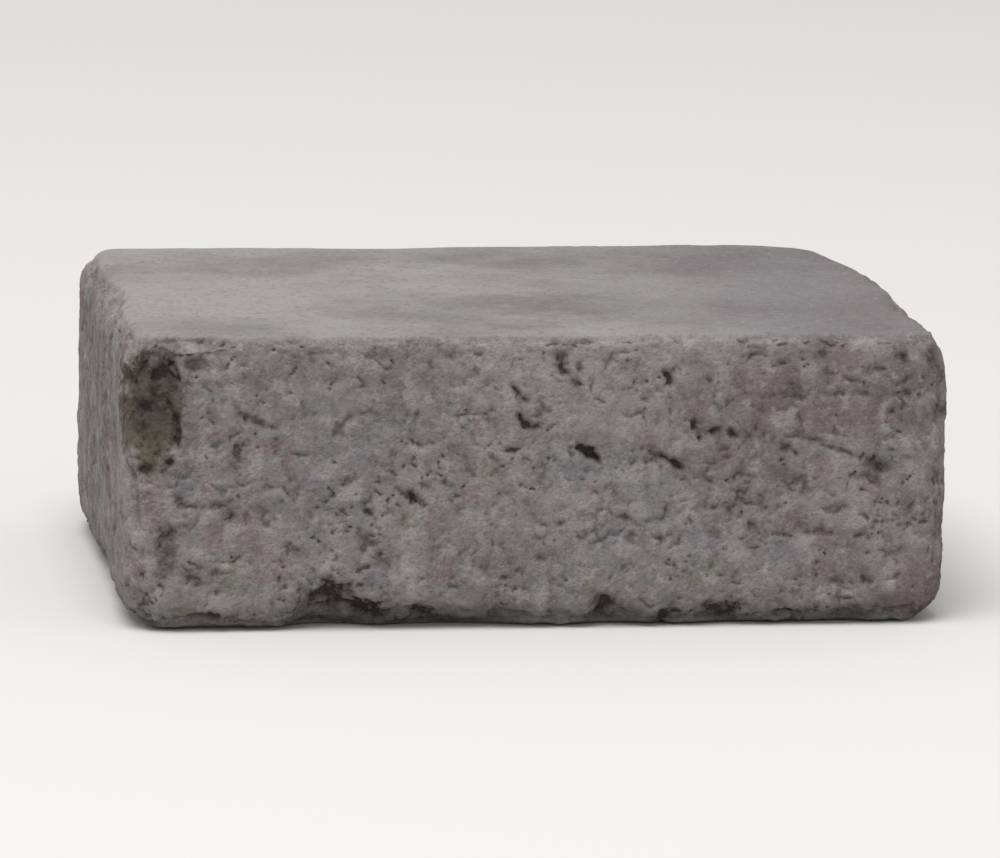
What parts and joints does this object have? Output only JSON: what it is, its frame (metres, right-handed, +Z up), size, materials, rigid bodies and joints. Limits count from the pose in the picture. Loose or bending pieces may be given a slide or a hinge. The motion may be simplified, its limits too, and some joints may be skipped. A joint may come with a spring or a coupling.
{
  "type": "retaining wall block",
  "caption": "Solid rectangular concrete block for a dry-stacked retaining wall, tumbled so that its corners and arrises are knocked off and rubbed round.",
  "frame": {"origin": "middle of the lower bed, the plane on which the block rests", "axes": "+X along the face length, towards the right end seen from the front; +Y from the front face to the back; +Z up through the course"},
  "size_m": [0.28, 0.2, 0.1],
  "materials": {
    "concrete": "matte, pitted cast concrete, weathered grey with brown and green-grey patches"
  },
  "bodies": {
    "root": {"wall_block": "concrete"}
  },
  "joints": []
}
